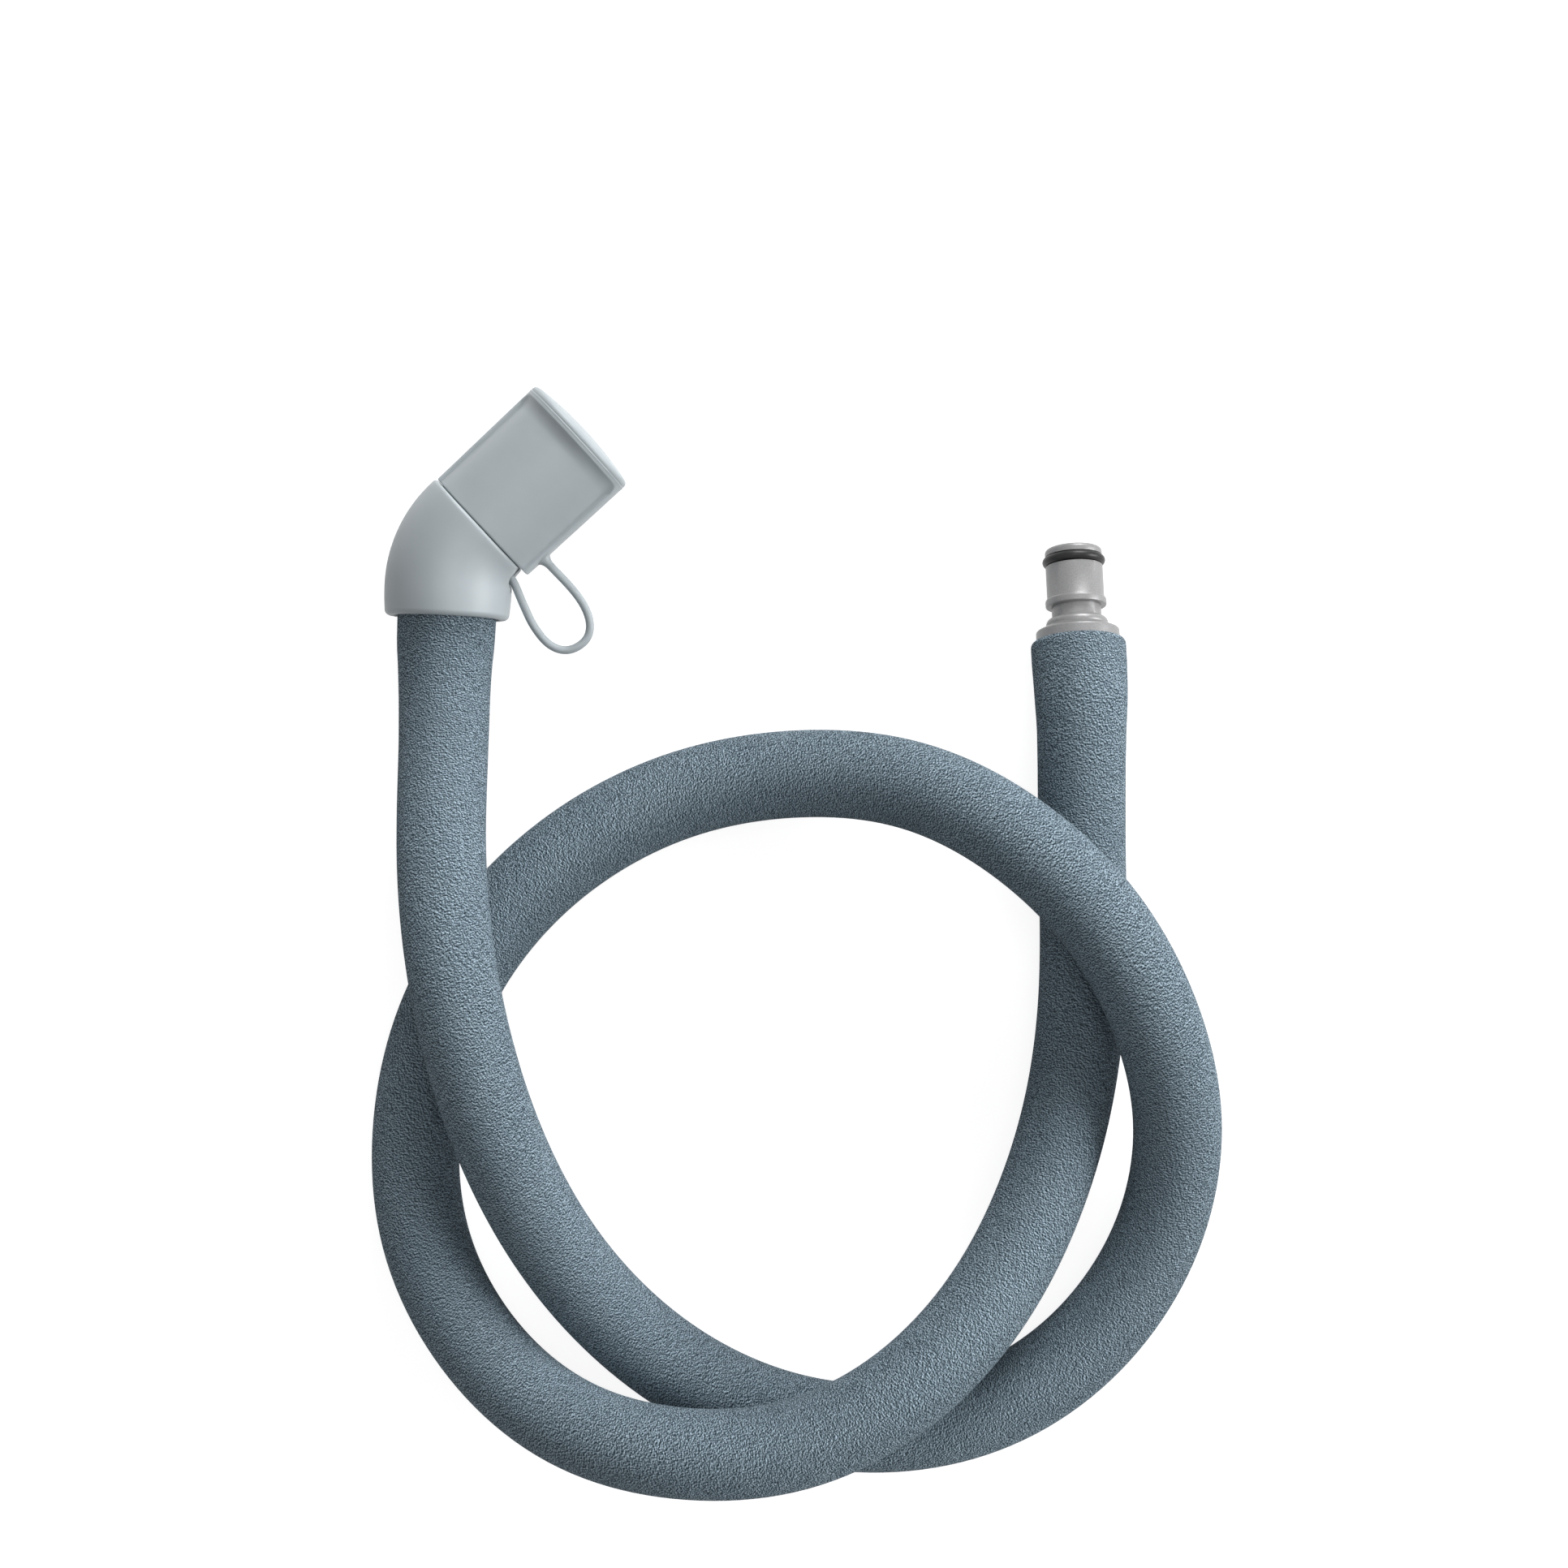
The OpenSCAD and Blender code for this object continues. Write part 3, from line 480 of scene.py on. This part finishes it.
# Rings of the sleeve's rounded rim
rim_turns = np.radians([0, 15, 30, 45, 60, 75, 90])
rim_at = HOSE_LENGTH - SLEEVE_RIM * (1 - np.sin(rim_turns))
keep = along < HOSE_LENGTH - SLEEVE_RIM - 0.4
sleeve_along = np.concatenate([along[keep], rim_at])
sleeve_line = np.stack([np.interp(sleeve_along, along, line[:, k]) for k in range(3)], axis=1)
sleeve_outer = np.concatenate([outer[keep], SLEEVE_PLUG_R - SLEEVE_RIM * (1 - np.cos(rim_turns))])
# The tube's radius and its bore's, plain and stretched over a barb, and the play round it
TUBE_R, TUBE_BORE = 4.75, 3.2
STRETCHED_R, STRETCHED_BORE = 5.35, 4.06
TUBE_PLAY = 0.1
# Share of the stretch by the distance from either end
STRETCH = ([0, 16, 20], [1, 1, 0])


def stretch(places):
    """Share of the stretch at these places along the hose."""
    return np.maximum(np.interp(places, *STRETCH), np.interp(HOSE_LENGTH - places, *STRETCH))


sleeve = tube(
    "foam_sleeve_skin",
    sleeve_line,
    sleeve_along,
    sleeve_outer,
    TUBE_R + (STRETCHED_R - TUBE_R) * stretch(sleeve_along) + TUBE_PLAY,
    72,
)
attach(sleeve, "hose")
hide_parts("foam_sleeve")
dress(sleeve, foam)

inner_tube = tube(
    "drinking_tube_skin",
    line,
    along,
    TUBE_R + (STRETCHED_R - TUBE_R) * stretch(along),
    TUBE_BORE + (STRETCHED_BORE - TUBE_BORE) * stretch(along),
    32,
)
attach(inner_tube, "hose")
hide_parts("drinking_tube")
dress(inner_tube, clear)

# ---------------------------------------------------------------- plug
# Radius and height of its outside, from the stub in the tube to the tip, and back down its bore
nose = (
    [(3.5, -9.0), (3.5, 0.05)]
    + [(8.6, 0.05)]
    + arc(8.1, 1.7, 0.5, 0.5, 0, 90)
    + arc(5.1, 3.5, 1.3, 1.3, -15, 90, 12)
    + [(5.1, 4.8), (5.1, 7.2)]
    + arc(5.9, 7.55, 0.4, 0.35, -90, 0, 6)
    + arc(5.9, 8.35, 0.4, 0.55, 0, 80, 8)
    + [(5.9, 9.05), (5.9, 15.8)]
    + arc(5.8, 15.8, 0.1, 0.1, 0, 90, 3)
    + [(4.4, 15.9), (4.4, 18.0)]
    + arc(5.8, 18.1, 0.1, 0.1, -90, 0, 3)
    + arc(5.1, 18.8, 0.8, 0.8, 0, 90, 10)
    + arc(3.6, 19.4, 0.2, 0.2, 90, 180, 4)
    + [(3.4, 5.2), (2.5, 4.8), (2.5, -9.0)]
)
plug_rings = [(at_plug, height, radius) for radius, height in nose]
plug_skin = turned("plug_skin", plug_rings, 96, closed=True, sharp_angle=40)
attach(plug_skin, "hose")
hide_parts("plug_body")
dress(plug_skin, silver)

# Cross that pushes the socket's valve open: two bars across the bore, narrower at their tops
# Half its length, half its thickness, and how much narrower its top is on each side
CROSS_LONG, CROSS_THICK = 3.5, 0.5
CROSS_BEVEL = 0.15
cross_points, cross_faces = [], []
for turn in (0, 90):
    base = len(cross_points)
    place = at_plug @ Matrix.Rotation(math.radians(turn), 4, "Z")
    for z, inset in ((7.0, 0), (17.9, 0), (18.2, CROSS_BEVEL)):
        left, right = -CROSS_LONG, CROSS_LONG
        near, far = -CROSS_THICK + inset, CROSS_THICK - inset
        for x, y in ((left, near), (right, near), (right, far), (left, far)):
            cross_points.append(place @ Vector((x, y, z)))
    for k in (0, 4):
        for i in range(4):
            j = (i + 1) % 4
            cross_faces.append((base + k + i, base + k + j, base + k + 4 + j, base + k + 4 + i))
    cross_faces.append((base + 3, base + 2, base + 1, base))
    cross_faces.append((base + 8, base + 9, base + 10, base + 11))
cross = add_mesh("plug_cross", cross_points, cross_faces, smooth=False)
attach(cross, "hose")
dress(cross, silver)
dress(nodes["plug_o_ring"], seal)

# ---------------------------------------------------------------- elbow cover
ELBOW_R, LIP_R = 13.0, 12.75
LIP_ROUND, EDGE_ROUND = 1.2, 0.7
# Radii of the bore that takes the sleeve, of the outlet's pocket and of the bore that joins them
MOUTH_BORE_R, POCKET_R, ELBOW_BORE_R = 10.75, 10.33, 6.05
MOUTH_DEPTH, POCKET_DEPTH = 6.65, 4.85
# Outside: the mouth's edge, the lip, the skirt, the bend and the outlet's edge
shell = [(at_mouth, 0.3, MOUTH_BORE_R), (at_mouth, 0.08, 10.85), (at_mouth, 0.0, 11.05)]
lip = arc(LIP_R - LIP_ROUND, LIP_ROUND, LIP_ROUND, LIP_ROUND, -90, 0, 10)
shell += [(at_mouth, h, r) for r, h in lip]
for k in range(1, 9):
    t = k / 8
    height = LIP_ROUND + (ELBOW_SKIRT - LIP_ROUND) * t
    shell.append((at_mouth, height, LIP_R + (ELBOW_R - LIP_R) * (2 * t - t * t)))
shell += [(at_bend(ELBOW_ANGLE * k / 24), 0.0, ELBOW_R) for k in range(1, 25)]
edge = arc(ELBOW_R - EDGE_ROUND, ELBOW_OUTLET - EDGE_ROUND, EDGE_ROUND, EDGE_ROUND, 6, 90, 9)
shell += [(at_bend_end, h, r) for r, h in edge]
# Inside, back from the outlet to the mouth
shell += [(at_outlet, 0.0, 10.6), (at_outlet, -0.08, 10.4), (at_outlet, -0.3, POCKET_R)]
shell += [(at_outlet, -POCKET_DEPTH, POCKET_R), (at_outlet, -POCKET_DEPTH, ELBOW_BORE_R)]
shell += [(at_bend(32 - 3 * k), 0.0, ELBOW_BORE_R) for k in range(11)]
shell += [(at_mouth, MOUTH_DEPTH, ELBOW_BORE_R), (at_mouth, MOUTH_DEPTH, MOUTH_BORE_R)]
elbow = turned("elbow_skin", shell, 128, closed=True)


def prism(name, outline_xz, half):
    """A block with this outline in the outlet's X and Z, from -half to half across it."""
    points = [at_outlet @ Vector((x, y, z)) for y in (-half, half) for x, z in outline_xz]
    count = len(outline_xz)
    faces = [tuple(range(count)), tuple(range(2 * count - 1, count - 1, -1))]
    faces += [(i, count + i, count + (i + 1) % count, (i + 1) % count) for i in range(count)]
    return add_mesh(name, points, faces, smooth=False)


# Notch that lets the tether out, and the hollow round its exit that is open at the cap
NOTCH_HALF, HOLLOW_HALF = 1.15, 6.5
notch = prism("notch", [(8.6, -4.75), (17, -4.75), (17, 1), (8.6, 1)], NOTCH_HALF)
hollow_outline = [(11.2, 1)] + arc(13.55, -2.3, 1.9, 1.9, 180, 270, 16) + [(26, -4.2), (26, 1)]
hollow = prism("hollow", hollow_outline, HOLLOW_HALF)


def cut(piece, tool):
    """Takes the tool's space out of the piece."""
    modifier = piece.modifiers.new("cut", "BOOLEAN")
    modifier.operation = "DIFFERENCE"
    modifier.solver = "EXACT"
    modifier.object = tool
    graph = bpy.context.evaluated_depsgraph_get()
    made = bpy.data.meshes.new_from_object(piece.evaluated_get(graph))
    piece.modifiers.clear()
    piece.data = made
    bpy.data.objects.remove(tool)


cut(elbow, notch)
cut(elbow, hollow)
for polygon in elbow.data.polygons:
    polygon.use_smooth = True
elbow.data.set_sharp_from_angle(angle=math.radians(38))
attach(elbow, "elbow")
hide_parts("elbow_cover")
dress(elbow, soft)

# ---------------------------------------------------------------- dust cap
CAP_R, MOUTH_R, PANEL_R, CAP_BORE_R = 13.7, 13.4, 12.5, 11.26
CAP_FROM, CAP_TO, CAP_DOME = 0.15, 26.65, 2.6
# The sunk panel: the ledge beside it, its corner on the ledge, and the cove that ends it
LEDGE_Y, CORNER_IN, CORNER_OUT = 3.1, 11.85, 12.3
COVE_FROM, COVE_TO, COVE_R, PANEL_CORNER = 22.7, 25.8, 4.73, 2.2


def smooth(x):
    x = min(1.0, max(0.0, x))
    return x * x * (3 - 2 * x)


def grid(stops):
    """Values from one stop to the next with the steps given after each."""
    values = [stops[0][0]]
    for (start, step), (end, _) in zip(stops, stops[1:]):
        count = max(1, round((end - start) / step))
        values += [start + (end - start) * (i + 1) / count for i in range(count)]
    return values


def panel_quarter(outer):
    """From the middle of the sunk panel over its corner and the ledge to the cap's side."""
    points = []
    edge = math.asin(CORNER_IN / PANEL_R)
    for k in range(21):
        points.append((PANEL_R * math.sin(edge * k / 20), PANEL_R * math.cos(edge * k / 20)))
    start, middle = points[-1], (math.sqrt(PANEL_R**2 - LEDGE_Y**2), LEDGE_Y)
    end = (CORNER_OUT, LEDGE_Y)
    for k in range(1, 7):
        t = k / 6
        u = 1 - t
        parts = zip(start, middle, end)
        points.append(tuple(u**2 * p + 2 * t * u * q + t * t * r for p, q, r in parts))
    side = math.sqrt(outer**2 - LEDGE_Y**2)
    points += [(side - 0.4, LEDGE_Y), (side - 0.22, LEDGE_Y - 0.03), (side - 0.09, LEDGE_Y - 0.12)]
    edge = math.asin((LEDGE_Y - 0.32) / outer)
    for k in range(7):
        angle = edge * (1 - k / 6)
        points.append((outer * math.cos(angle), outer * math.sin(angle)))
    return points


def quarter(a):
    """A quarter of the cap's outline at a height, from the middle of a panel to the cap's side."""
    outer = MOUTH_R + (CAP_R - MOUTH_R) * min(1.0, (a - CAP_FROM) / (CAP_TO - CAP_FROM))
    corner_from = PANEL_R * math.atan2(CORNER_OUT, LEDGE_Y) - PANEL_CORNER
    points = []
    for x, y in panel_quarter(outer):
        radius = math.hypot(x, y)
        along_rim = PANEL_R * math.atan2(x, y)
        over = min(PANEL_CORNER, max(0.0, along_rim - corner_from))
        early = min(1.5, PANEL_CORNER - math.sqrt(PANEL_CORNER**2 - over**2))
        into = min(COVE_TO - COVE_FROM, max(0.0, a - COVE_FROM + early))
        rise = COVE_R - math.sqrt(COVE_R**2 - into**2)
        full = COVE_R - math.sqrt(COVE_R**2 - (COVE_TO - COVE_FROM) ** 2)
        share = rise / full
        scale = 1 + (outer / radius - 1) * share
        points.append((x * scale, y * scale))
    return points


def outline(a):
    """The cap's whole outline at a height."""
    first = quarter(a)
    right = first + [(x, -y) for x, y in reversed(first[:-1])]
    return right + [(-x, y) for x, y in reversed(right[1:-1])]


cap_points, cap_faces = [], []
loop_size = len(outline(1.0))


def add_loop(points_2d, a):
    """Adds a loop at a height and joins it to the one before."""
    base = len(cap_points)
    for x, y in points_2d:
        cap_points.append(at_outlet @ Vector((x, y, a)))
    if base:
        before = base - loop_size
        for i in range(loop_size):
            j = (i + 1) % loop_size
            cap_faces.append((before + i, before + j, base + j, base + i))


def scaled(points_2d, less):
    """The loop drawn in towards the axis by less."""
    shares = [1 - less / math.hypot(x, y) for x, y in points_2d]
    return [(x * share, y * share) for (x, y), share in zip(points_2d, shares)]


def round_loop(r):
    """A circle of radius r with a point for each point of the cap's mouth."""
    return [(x * r / math.hypot(x, y), y * r / math.hypot(x, y)) for x, y in outline(CAP_FROM)]


# The bore, from its end to the mouth
for r, a in (
    (0.3, 24.65), (10.6, 24.65), (11.1, 24.45), (CAP_BORE_R, 23.95), (CAP_BORE_R, 1.0),
    (CAP_BORE_R + 0.04, CAP_FROM + 0.15), (CAP_BORE_R + 0.2, CAP_FROM),
):
    add_loop(round_loop(r), a)
# The mouth's rounded edge and the wall with its panels
MOUTH_ROUND, SEAM_RISE = 0.4, 0.07
for step in range(7):
    angle = math.radians(-90 + 15 * step)
    drawn_in = scaled(outline(CAP_FROM), MOUTH_ROUND * (1 - math.cos(angle)))
    add_loop(drawn_in, CAP_FROM + MOUTH_ROUND * (1 + math.sin(angle)))
for a in grid([(CAP_FROM + 0.5, 1.0), (21.0, 0.25), (25.0, 0.1), (CAP_TO - 0.1, 0)]):
    rise = SEAM_RISE * smooth((a - CAP_TO + 0.35) / 0.25)
    add_loop(scaled(outline(a), -rise), a)
# The ridge at the seam, the dome's round edge and the dome
for r, h in (
    [(13.76, -0.03), (13.70, 0.04), (13.62, 0.09), (13.64, 0.18), (13.68, 0.30)]
    + arc(12.4, 0.45, 1.3, 1.12, 0, 78, 10)
    + [(12.67 * (1 - i / 14), CAP_DOME - 1.05 * (1 - i / 14) ** 2) for i in range(1, 14)]
    + [(0.3, CAP_DOME)]
):
    add_loop(round_loop(r), CAP_TO + h)
cap_faces.append(tuple(reversed(range(loop_size))))
cap_faces.append(tuple(len(cap_points) - loop_size + i for i in range(loop_size)))
cap = add_mesh("dust_cap_skin", cap_points, cap_faces, sharp_angle=60)
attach(cap, "cap")
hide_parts("dust_cap")
dress(cap, soft)

# Root of the tether on the cap: a flared boss
TETHER_R, TETHER_ROOT_Z = 0.85, 4.95
BOSS_R, FLARE, FLARE_FROM, FLARE_TO = 1.75, 0.72, 13.4, 15.45
root = [(BOSS_R, 12.9), (BOSS_R, 13.45), (1.55, 13.62)]
for k in range(9):
    t = k / 8
    root.append((TETHER_R + FLARE * (1 - t) ** 2.2, FLARE_FROM + (FLARE_TO - FLARE_FROM) * t))
place = (
    at_outlet
    @ Matrix.Translation((0, 0, TETHER_ROOT_Z))
    @ Matrix.Rotation(math.radians(90), 4, "Y")
)
boss = turned("tether_boss", [(place, h, r) for r, h in root], 40, sharp_angle=60)
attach(boss, "cap")
dress(boss, soft)

# ---------------------------------------------------------------- tether
# Distance from the cap's axis, height over the joint and share of the droop
loop_points = [
    (15.3, TETHER_ROOT_Z, 0), (18.9, 5, 0.2), (23.6, 4.8, 0.5), (27.2, 3.9, 0.75), (29.5, 2.5, 0.9),
    (30.9, 0.4, 1), (31, -2, 1), (29.9, -4.5, 1), (27.1, -6.2, 0.85), (23.5, -6.3, 0.6),
    (20.9, -5.8, 0.4), (18.5, -5, 0.25), (16.3, -4.2, 0.12), (14.2, -3.4, 0.04), (11.05, -2.65, 0),
]
DROOP = 4.0
tether_points = [at_outlet @ Vector((x, DROOP * d, a)) for x, a, d in loop_points]
out_way = (at_outlet.to_3x3() @ Vector((1, 0, 0))).normalized()
tether_line, _ = spline(tether_points, out_way, -out_way, TETHER_STEP)


def rod(name, path, radius, sides):
    """A solid round rod along a path, with frames carried along it without a twist."""
    way = np.gradient(path, axis=0)
    way /= np.linalg.norm(way, axis=1)[:, None]
    side = np.cross(way[0], [0, 0, 1.0])
    side /= np.linalg.norm(side)
    points, faces = [], []
    for k in range(len(path)):
        side = side - way[k] * np.dot(side, way[k])
        side /= np.linalg.norm(side)
        up = np.cross(side, way[k])
        for i in range(sides):
            a = 2 * math.pi * i / sides
            points.append(path[k] + radius * (math.cos(a) * side + math.sin(a) * up))
    for k in range(len(path) - 1):
        for i in range(sides):
            j = (i + 1) % sides
            a, b = k * sides, (k + 1) * sides
            faces.append((a + i, a + j, b + j, b + i))
    faces.append(tuple(reversed(range(sides))))
    faces.append(tuple((len(path) - 1) * sides + i for i in range(sides)))
    return add_mesh(name, points, faces, sharp_angle=60)


tether = rod("tether_skin", tether_line, TETHER_R, 20)
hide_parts("cap_tether")
dress(tether, soft)
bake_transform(tether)

# ---------------------------------------------------------------- pieces of the valve, as built
for name, finish in (
    ("elbow_fitting", rigid),
    ("valve_stem", rigid),
    ("twist_collar", rigid),
    ("elbow_o_ring", seal),
    ("stem_o_rings", seal),
    ("snap_ring", steel),
    ("tether_ring", soft),
    ("mouthpiece", milky),
):
    dress(nodes[name], finish)

# ---------------------------------------------------------------- floor, world and lamps
FLOOR_HALF, FLOOR_DROP = 4, 0.0001
FLOOR_GREY, FLOOR_GLOW = 0.35, 0.88
WORLD_LIGHT = 0.28
floor_mesh = bpy.data.meshes.new("floor")
corners = ((-1, -1), (1, -1), (1, 1), (-1, 1))
floor_corners = [(x * FLOOR_HALF, y * FLOOR_HALF, 0) for x, y in corners]
floor_mesh.from_pydata(floor_corners, [], [(0, 1, 2, 3)])
floor = bpy.data.objects.new("floor", floor_mesh)
bpy.context.scene.collection.objects.link(floor)
floor.location = (0, 0, -FLOOR_DROP)


def seen_only(tree):
    """1 for camera, glossy and transmission rays, and 0 for the light that falls on the object."""
    path = tree.nodes.new("ShaderNodeLightPath")
    first = tree.nodes.new("ShaderNodeMath")
    first.operation = "MAXIMUM"
    second = tree.nodes.new("ShaderNodeMath")
    second.operation = "MAXIMUM"
    tree.links.new(path.outputs["Is Camera Ray"], first.inputs[0])
    tree.links.new(path.outputs["Is Glossy Ray"], first.inputs[1])
    tree.links.new(first.outputs[0], second.inputs[0])
    tree.links.new(path.outputs["Is Transmission Ray"], second.inputs[1])
    return second.outputs[0]


ground = bpy.data.materials.new("ground")
ground.use_nodes = True
tree = ground.node_tree
tree.nodes.clear()
out = tree.nodes.new("ShaderNodeOutputMaterial")
matt = tree.nodes.new("ShaderNodeBsdfDiffuse")
matt.inputs["Color"].default_value = (FLOOR_GREY, FLOOR_GREY, FLOOR_GREY, 1)
glow = tree.nodes.new("ShaderNodeEmission")
glow.inputs["Strength"].default_value = FLOOR_GLOW
both = tree.nodes.new("ShaderNodeAddShader")
mix = tree.nodes.new("ShaderNodeMixShader")
tree.links.new(matt.outputs[0], both.inputs[0])
tree.links.new(glow.outputs[0], both.inputs[1])
tree.links.new(seen_only(tree), mix.inputs[0])
tree.links.new(matt.outputs[0], mix.inputs[1])
tree.links.new(both.outputs[0], mix.inputs[2])
tree.links.new(mix.outputs[0], out.inputs[0])
floor_mesh.materials.append(ground)

world = bpy.data.worlds.new("studio")
bpy.context.scene.world = world
world.use_nodes = True
tree = world.node_tree
tree.nodes.clear()
out = tree.nodes.new("ShaderNodeOutputWorld")
dim = tree.nodes.new("ShaderNodeBackground")
dim.inputs["Color"].default_value = (1, 1, 1, 1)
dim.inputs["Strength"].default_value = WORLD_LIGHT
bright = tree.nodes.new("ShaderNodeBackground")
bright.inputs["Color"].default_value = (1, 1, 1, 1)
bright.inputs["Strength"].default_value = 1.0
mix = tree.nodes.new("ShaderNodeMixShader")
tree.links.new(seen_only(tree), mix.inputs[0])
tree.links.new(dim.outputs[0], mix.inputs[1])
tree.links.new(bright.outputs[0], mix.inputs[2])
tree.links.new(mix.outputs[0], out.inputs[0])


MIDDLE = Vector((0.01, -0.08, 0.01))
LAMP_DISTANCE = 2.5


def lamp(name, azimuth, elevation, size, power):
    """A square soft lamp that looks at the middle of the hose; azimuth counts from +X to +Y."""
    data = bpy.data.lights.new(name, "AREA")
    data.shape = "SQUARE"
    data.size = size
    data.energy = power
    made = bpy.data.objects.new(name, data)
    bpy.context.scene.collection.objects.link(made)
    flat = LAMP_DISTANCE * math.cos(math.radians(elevation))
    way = Vector(
        (
            flat * math.cos(math.radians(azimuth)),
            flat * math.sin(math.radians(azimuth)),
            LAMP_DISTANCE * math.sin(math.radians(elevation)),
        )
    )
    made.location = MIDDLE + way
    made.rotation_mode = "QUATERNION"
    made.rotation_quaternion = (-way).to_track_quat("-Z", "Y")


lamp("key", 75, 20, 1.25, 55.0)
lamp("back", 0, 20, 1.25, 47.0)
lamp("top", 45, 82, 0.9, 7.0)

bpy.context.scene.view_settings.view_transform = "Standard"
